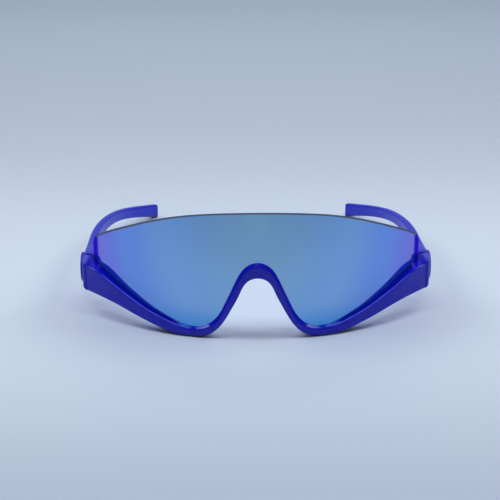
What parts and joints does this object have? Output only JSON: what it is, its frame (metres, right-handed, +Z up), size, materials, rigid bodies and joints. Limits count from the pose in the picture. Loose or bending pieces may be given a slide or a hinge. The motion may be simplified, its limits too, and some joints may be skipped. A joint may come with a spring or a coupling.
{
  "type": "shield sunglasses",
  "caption": "Shield sunglasses with a blue half-rim front, a curved mirror lens with a bare top edge, and folding temples.",
  "frame": {"origin": "on the table under the middle of the glasses, temples open: the centre of the bottom of the box around them", "axes": "+Z up from the table, +X to the right as seen from the front, -Y the way the wearer looks"},
  "size_m": [0.1472, 0.1421, 0.0535],
  "materials": {
    "frame_plastic": "gloss",
    "lens": "blue mirror coating",
    "badge": "gloss",
    "hinge_metal": "satin",
    "screw_metal": "polished",
    "pad_rubber": "clear soft silicone"
  },
  "bodies": {
    "front": {"front_frame": "frame_plastic", "shield_lens": "lens", "front_hinge_leaf_left": "hinge_metal", "front_hinge_leaf_right": "hinge_metal", "front_leaf_screws_left": "screw_metal", "front_leaf_screws_right": "screw_metal", "hinge_screw_left": "screw_metal", "hinge_screw_right": "screw_metal", "nose_pad_left": "pad_rubber", "nose_pad_right": "pad_rubber"},
    "left_temple": {"temple_left": "frame_plastic", "badge_left": "badge", "temple_hinge_leaf_left": "hinge_metal", "temple_leaf_screws_left": "screw_metal"},
    "right_temple": {"temple_right": "frame_plastic", "badge_right": "badge", "temple_hinge_leaf_right": "hinge_metal", "temple_leaf_screws_right": "screw_metal"}
  },
  "joints": [
    {"name": "left_temple_fold", "type": "hinge", "parent": "front", "child": "left_temple", "pos_m": [-0.0641, -0.03625, 0.0149], "axis": [0, 0, -1], "range_deg": [0, 75]},
    {"name": "right_temple_fold", "type": "hinge", "parent": "front", "child": "right_temple", "pos_m": [0.0641, -0.03625, 0.0149], "axis": [0, 0, 1], "range_deg": [0, 88]}
  ]
}
